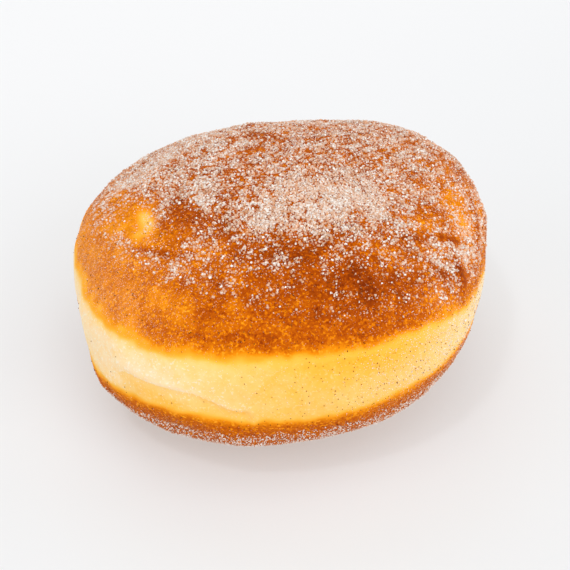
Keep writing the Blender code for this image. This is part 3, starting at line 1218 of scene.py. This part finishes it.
class Crystal(Enum):
    """The shapes that a grain starts from before its corners are jittered: corners and faces."""

    BLOCK = (
        ((-1, -1, -1), (1, -1, -1), (1, 1, -1), (-1, 1, -1), (-1, -1, 1), (1, -1, 1), (1, 1, 1), (-1, 1, 1)),
        ((3, 2, 1, 0), (4, 5, 6, 7), (0, 1, 5, 4), (1, 2, 6, 5), (2, 3, 7, 6), (3, 0, 4, 7)),
    )
    SHARD = (
        ((1.2, 0, 0), (0, 1.2, 0), (-1.2, 0, 0), (0, -1.2, 0), (0, 0, 1.2), (0, 0, -1.2)),
        ((0, 1, 4), (1, 2, 4), (2, 3, 4), (3, 0, 4), (1, 0, 5), (2, 1, 5), (3, 2, 5), (0, 3, 5)),
    )
    CHIP = (
        ((1.3, 0, -0.5), (-0.7, 1.1, -0.5), (-0.7, -1.1, -0.5), (0, 0, 1.0)),
        ((0, 1, 3), (1, 2, 3), (2, 0, 3), (2, 1, 0)),
    )

    @property
    def corners(self) -> Array:
        """Corner places of the unjittered shape, one row each."""
        return np.array(self.value[0], dtype=float)

    @property
    def faces(self) -> Array:
        """Corner numbers of each face, seen from outside in turn."""
        return np.array(self.value[1])


@dataclass(frozen=True)
class Grains:
    """A kind of loose grain: how many, how big in millimetres, how it lies and how white it is.

    glints is the share of its faces that are painted bright white as glints, whatever the grain's own whiteness. A
    grain is whiter where the cover is thick, as crystals that touch hide the crust, and on plain dough.
    """

    name: str
    count: int
    small: float
    large: float
    seed: int
    white_low: float = 0.05
    white_high: float = 0.75
    white_bias: float = 1.6
    glints: float = 0.18
    glint_white: float = 0.90
    spacing: float = 0.75
    draws: float = 3.0
    layers: int = 1
    sink: float = 0.12
    flatness: float = 0.75
    crystal: Crystal = Crystal.BLOCK

    def scatter(self, dough: Dough, cover: Array, rng: np.random.Generator) -> tuple[Array, ...]:
        """Draws places on the skin, more of them where the cover is greater.

        Grid faces are drawn in proportion to their area and cover, so many draws for each grain wanted.
        A place is drawn inside each, and of places that fall in one small cell only the first stays.

        Args:
            dough: The dough that the grains lie on.
            cover: Share covered at each grid point.
            rng: The random generator.

        Returns:
            Places on the skin, and there the outward normals, how brown the crust is and the cover.
        """
        points, normals = dough.points, dough.normals
        here, right = points[:-1], np.roll(points, -1, axis=1)[:-1]
        area = np.linalg.norm(np.cross(right - here, points[1:] - here), axis=-1)
        weight = area * (cover[:-1] + cover[1:]) / 2
        total = np.cumsum(weight.ravel())
        drawn = np.searchsorted(total, rng.uniform(0, total[-1], round(self.count * self.draws)))
        row, turn = np.divmod(drawn, dough.turns)
        turn_after = (turn + 1) % dough.turns
        u, v = rng.uniform(size=(2, len(drawn), 1))

        def blend(grid: Array) -> Array:
            """A value inside each drawn face: a blend of its four corners."""
            upper = grid[row, turn] * (1 - u) + grid[row, turn_after] * u
            lower = grid[row + 1, turn] * (1 - u) + grid[row + 1, turn_after] * u
            return upper * (1 - v) + lower * v

        places, outward = blend(points), unit(blend(normals))
        brown, thick = blend(dough.brown[..., None])[:, 0], blend(cover[..., None])[:, 0]
        middling = (self.small + self.large) / 2 * MM
        layer = rng.integers(0, self.layers, len(places))[:, None]
        places = places + outward * layer * middling * 0.7
        cells = np.floor(places / (self.spacing * middling)).astype(np.int64)
        first = np.sort(np.unique(cells, axis=0, return_index=True)[1])[: self.count]
        return places[first], outward[first], brown[first], thick[first]

    def build(self, dough: Dough, cover: Array, material: bpy.types.Material) -> bpy.types.Object:
        """Makes all the grains of this kind as one joined mesh of jittered boxes.

        Args:
            dough: The dough that the grains lie on.
            cover: Share covered at each grid point.
            material: The grains' finish.

        Returns:
            The finished piece.
        """
        rng = np.random.default_rng(self.seed)
        places, outward, brown, thick = self.scatter(dough, cover, rng)
        count = len(places)
        size = rng.uniform(self.small, self.large, (count, 1)) * MM / 2
        sides = size * rng.uniform([0.75, 0.75, 0.45], [1.25, 1.25, 0.75 + 0.5 * self.flatness], (count, 3))
        shape = self.crystal.corners
        jitter = rng.uniform(-0.22, 0.22, (count, *shape.shape))
        local = (shape + jitter) * sides[:, None]
        turned = np.einsum("nij,nkj->nki", self.random_turns(count, outward, rng), local)
        centres = places + outward * size * (1 - self.sink) * 0.6
        corners = turned + centres[:, None] - dough.middle
        clear_of_table = corners[..., 2].min(axis=1) > 0
        corners, brown, thick = corners[clear_of_table], brown[clear_of_table], thick[clear_of_table]
        count = len(corners)
        numbers = self.crystal.faces + len(shape) * np.arange(count)[:, None, None]
        piece = mesh_piece(self.name, corners.reshape(-1, 3), [numbers.reshape(-1, numbers.shape[2])])
        piece.data.shade_flat()
        spread = self.white_high - self.white_low
        white = self.white_low + spread * rng.uniform(size=(count, 1)) ** self.white_bias
        white *= (0.46 + 0.54 * np.clip(thick, 0, 1))[:, None]
        white = np.maximum(white, 0.75 * (1 - eased(brown, 0.0, 0.3))[:, None])
        # Painted glints: a share of each grain's faces is coloured bright white to stand for highlights.
        glinting = rng.uniform(size=(count, len(self.crystal.faces))) < self.glints
        add_values(piece, "whiteness", np.where(glinting, self.glint_white, white), "FACE")
        add_values(piece, "brown", brown.repeat(len(self.crystal.faces)), "FACE")
        add_map(piece, self.flat_map(glinting))
        piece.data.materials.append(material)
        return piece

    def random_turns(self, count: int, outward: Array, rng: np.random.Generator) -> Array:
        """Turns that lay each grain nearly flat on the skin, spun and tipped at random.

        Args:
            count: How many grains there are.
            outward: The normal under each grain.
            rng: The random generator.

        Returns:
            One three by three turn a grain.
        """
        up = unit(outward + rng.normal(size=(count, 3)) * (1.1 - self.flatness))
        side = unit(np.cross(up, rng.normal(size=(count, 3))))
        return np.stack([side, np.cross(up, side), up], axis=2)

    def flat_map(self, glinting: Array) -> Array:
        """Flat places of the face corners.

        Each grain has one small square of the map, with its plain faces in the lower half and its
        glinting ones in the upper half.

        Args:
            glinting: Which faces glint, one row a grain.

        Returns:
            One place a face corner.
        """
        across = math.ceil(math.sqrt(len(glinting)))
        row, column = np.divmod(np.arange(len(glinting)), across)
        sides = self.crystal.faces.shape[1]
        patch = np.array([(0.15, 0.1), (0.85, 0.1), (0.85, 0.4), (0.15, 0.4)])[:sides]
        corner = np.stack([column, row], axis=-1)[:, None, None]
        lift = glinting[..., None, None] * np.array([0, 0.5])
        return ((corner + patch + lift) / across).reshape(-1, 2)


@dataclass
class Topping:
    """Everything sprinkled on the dough: sugar in several grades, and ground spice."""

    sprinkling: Sprinkling = field(default_factory=Sprinkling)

    def build(self, dough: Dough) -> list[bpy.types.Object]:
        """Makes each kind of grain and dresses it.

        Args:
            dough: The dough that the grains lie on.

        Returns:
            The finished pieces.
        """
        pile = self.sprinkling.pile_cover(dough)
        crown = np.clip(self.sprinkling.crown_cover(dough) + 0.12 * pile, 0, 1)
        base = self.sprinkling.base_cover_at(dough)
        sugar = SugarFinish().material()
        seed = Stream.GRAINS.value
        kinds = (
            (Grains("sugar_granulated", 15500, 0.24, 0.44, seed, 0.15, 0.95, 1.4), crown * eased(crown, 0.05, 0.6)),
            (Grains("sugar_fine", 31000, 0.16, 0.30, seed + 1, 0.05, 0.95, 1.7, crystal=Crystal.CHIP), crown),
            (Grains("sugar_pile", 3000, 0.24, 0.42, seed + 2, 0.26, 0.98, 1.2, draws=1.2), pile),
            (Grains("sugar_base", 16000, 0.20, 0.38, seed + 3, 0.3, 1.0, 1.2, crystal=Crystal.SHARD), base),
            (Grains("sugar_coarse", 50, 0.45, 0.60, seed + 4, 0.5, 1.0), crown * eased(crown, 0.05, 0.6)),
            (
                Grains("sugar_powder", 40000, 0.12, 0.20, seed + 5, 0.1, 0.45, 1.5, 0.04, crystal=Crystal.CHIP),
                self.sprinkling.powder_cover(dough),
            ),
        )
        pieces = []
        for grains, cover in kinds:
            piece = grains.build(dough, cover, sugar)
            pieces.append(piece)
        pieces.append(self.spice(dough))
        return pieces

    def spice(self, dough: Dough) -> bpy.types.Object:
        """Ground spice: thin over the crust, thicker over the right of the belt."""
        above, below = dough.bake.depth(dough.form, dough.azimuth, dough.plain)
        belt = (above < 0) & (below < 0)
        right = eased(dough.plain[..., 0] / MM, -14, 26)
        cover = np.where(belt, 0.08 + 1.7 * right, 0.80)
        grains = Grains(
            "spice_specks",
            4400,
            0.11,
            0.26,
            Stream.SPECKS.value,
            white_low=0.0,
            white_high=1.0,
            white_bias=1.4,
            glints=0.0,
            flatness=0.9,
            crystal=Crystal.SHARD,
        )
        piece = grains.build(dough, cover, SpiceFinish().material())
        return piece


# ---------------------------------------------------------------- studio


@dataclass(frozen=True)
class SoftLight:
    """A soft square light: which way and how high it stands, in degrees, its width and its power."""

    name: str
    toward: float
    height: float
    width: float
    power: float
    distance: float = 3.6

    def build(self, aim: Array) -> bpy.types.Object:
        """Makes the light, turned to the place that it aims at."""
        data = bpy.data.lights.new(self.name, "AREA")
        data.shape = "SQUARE"
        data.size = self.width
        data.energy = self.power
        toward, height = math.radians(self.toward), math.radians(self.height)
        level = math.cos(height)
        way = np.array([math.cos(toward) * level, math.sin(toward) * level, math.sin(height)])
        light = bpy.data.objects.new(self.name, data)
        light.location = way * self.distance
        light.rotation_euler = facing(way * self.distance, aim)
        bpy.context.scene.collection.objects.link(light)
        return light


def facing(place: Array, aim: Array) -> tuple[float, float, float]:
    """Euler angles that turn a light or camera at one place towards another, upright."""
    away = aim - place
    flat = math.hypot(away[0], away[1])
    return (math.atan2(flat, -away[2]), 0.0, math.atan2(-away[0], away[1]))


@dataclass(frozen=True)
class Studio:
    """A pale table, soft lights and a camera that looks down on the front."""

    elevation: float = 35.88
    distance: float = 0.3239
    focal_length: float = 93.4
    aim_right: float = 1.82 * MM
    aim_down: float = 1.69 * MM
    table_radius: float = 4.0
    world_colour: tuple[float, float, float] = (1.0, 1.0, 1.0)
    world_strength: float = 0.50
    lights: tuple[SoftLight, ...] = (
        SoftLight("top_light", -90, 72, 2.7, 34.2),
        SoftLight("right_light", -50, 26, 2.7, 57.6),
        SoftLight("side_light", 20, 28, 2.7, 16.2),
        SoftLight("left_light", -155, 18, 2.7, 27.9),
        SoftLight("back_light", 110, 42, 2.7, 16.2),
        SoftLight("sparkle_light", -125, 62, 0.30, 12.6),
    )

    def build(self, dough: Dough) -> None:
        """Makes the table, the lights, the world and the camera."""
        self.table()
        self.world()
        aim = np.array([0, 0, dough.form.height / 2])
        for light in self.lights:
            light.build(aim)
        self.camera(aim - dough.middle)
        bpy.context.scene.view_settings.view_transform = "Standard"

    def table(self) -> None:
        """A wide round table top, as rings of faces round its middle."""
        turn = 2 * np.pi * np.arange(64) / 64
        rings = np.array([0.1, 0.4, 1.5, self.table_radius])
        corners = np.stack(
            [np.outer(rings, np.cos(turn)), np.outer(rings, np.sin(turn)), np.zeros((4, 64))], axis=-1
        ).reshape(-1, 3)
        number = np.arange(256).reshape(4, 64)
        after = np.roll(number, -1, axis=1)
        quads = np.stack([number[:-1], number[1:], after[1:], after[:-1]], axis=-1).reshape(-1, 4)
        middle = np.stack([np.full(64, 256), number[0], after[0]], axis=-1)
        table = mesh_piece("table_top", np.concatenate([corners, np.zeros((1, 3))]), [quads, middle])
        table.data.materials.append(TableFinish().material())

    def world(self) -> None:
        """Even pale light from all round."""
        world = bpy.data.worlds.new("soft_room")
        world.use_nodes = True
        background = world.node_tree.nodes["Background"]
        background.inputs["Color"].default_value = (*self.world_colour, 1.0)
        background.inputs["Strength"].default_value = self.world_strength
        bpy.context.scene.world = world

    def camera(self, subject: Array) -> None:
        """A long lens that looks down on the front, with the subject a little off its middle."""
        tilt = math.radians(self.elevation)
        back = np.array([0, -math.cos(tilt), math.sin(tilt)])
        up = np.array([0, math.sin(tilt), math.cos(tilt)])
        aim = subject + np.array([self.aim_right, 0, 0]) - up * self.aim_down
        data = bpy.data.cameras.new("camera")
        data.lens = self.focal_length
        data.sensor_width = 36.0
        data.clip_start = 0.01
        data.clip_end = 20.0
        camera = bpy.data.objects.new("camera", data)
        camera.location = aim + back * self.distance
        camera.rotation_euler = facing(aim + back * self.distance, aim)
        bpy.context.scene.collection.objects.link(camera)
        bpy.context.scene.camera = camera


# ---------------------------------------------------------------- the whole


def main() -> None:
    """Builds the dough, its topping and the studio."""
    logging.basicConfig(level=logging.INFO, format="%(name)s: %(message)s")
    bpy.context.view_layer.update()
    topping = Topping()
    dough = Dough()
    skin = dough.build(topping.sprinkling.dust(dough))
    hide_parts("doughnut")
    for piece in [skin, *topping.build(dough)]:
        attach(piece, "root")
        LOG.info("%s has %d faces", piece.name, len(piece.data.polygons))
    Studio().build(dough)


if __name__ == "__main__":
    main()
